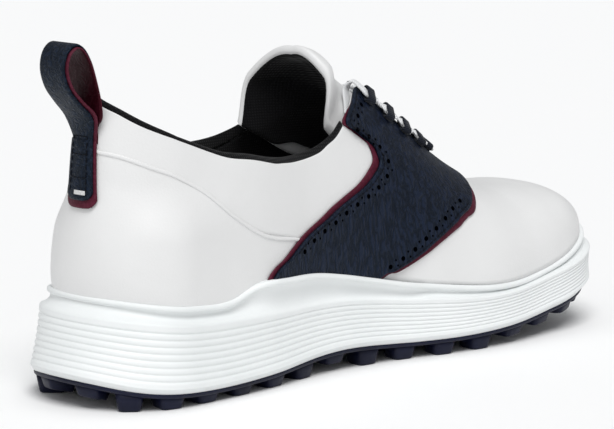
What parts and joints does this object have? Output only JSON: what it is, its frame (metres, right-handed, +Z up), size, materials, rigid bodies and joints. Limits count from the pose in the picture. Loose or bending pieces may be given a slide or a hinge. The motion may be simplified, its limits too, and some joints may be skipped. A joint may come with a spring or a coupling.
{
  "type": "golf shoe",
  "caption": "Spikeless leather golf shoe with a lugged rubber outsole, foam midsole, saddle, laced throat with standing tongue and a heel pull loop.",
  "frame": {"origin": "on the ground under the middle of the shoe's bounding box", "axes": "+X from heel to toe, +Y towards the outer side of this left shoe, +Z up"},
  "size_m": [0.2782, 0.0974, 0.1358],
  "materials": {
    "navy_rubber": "matte",
    "white_foam": "matte",
    "grey_plastic": "matte",
    "cork_filler": "matte",
    "fibre_board": "matte",
    "insole_fabric": "matte",
    "white_leather": "matte",
    "burgundy_leather": "matte",
    "navy_leather": "matte",
    "lining_fabric": "matte",
    "black_fabric": "matte",
    "padding_foam": "matte",
    "white_lace": "matte"
  },
  "bodies": {
    "shoe": {"outsole": "navy_rubber", "midsole": "white_foam", "shank": "grey_plastic", "forefoot_filler": "cork_filler", "insole_board": "fibre_board", "vamp": "white_leather", "heel_panel": "white_leather", "collar_medial": "white_leather", "collar_lateral": "white_leather", "saddle_underlay": "burgundy_leather", "saddle": "navy_leather", "toe_puff": "fibre_board", "heel_counter": "fibre_board", "vamp_lining": "lining_fabric", "collar_lining": "black_fabric", "collar_foam": "padding_foam", "topline_binding": "black_fabric", "lace_loops_medial": "navy_leather", "lace_loops_lateral": "navy_leather", "lace": "white_lace", "pull_strap": "navy_leather", "pull_strap_lining": "burgundy_leather", "bar_tack": "white_lace"},
    "tongue": {"tongue_shell": "white_leather", "tongue_foam": "padding_foam", "tongue_lining": "black_fabric"},
    "loop": {"pull_loop": "navy_leather", "pull_loop_lining": "burgundy_leather"},
    "footbed": {"insole": "insole_fabric"}
  },
  "joints": [
    {"name": "tongue_fold", "type": "hinge", "parent": "shoe", "child": "tongue", "pos_m": [0.069, -0.0022, 0.066], "axis": [0, -1, 0], "range_deg": [0, 8], "stiffness_Nm_per_rad": 0.05},
    {"name": "loop_flex", "type": "hinge", "parent": "shoe", "child": "loop", "pos_m": [-0.1235, -0.0022, 0.105], "axis": [0, -1, 0], "range_deg": [0, 30], "stiffness_Nm_per_rad": 0.02},
    {"name": "insole_lift", "type": "hinge", "parent": "shoe", "child": "footbed", "pos_m": [0.126, -0.0022, 0.036], "axis": [0, 1, 0], "range_deg": [0, 3]}
  ]
}
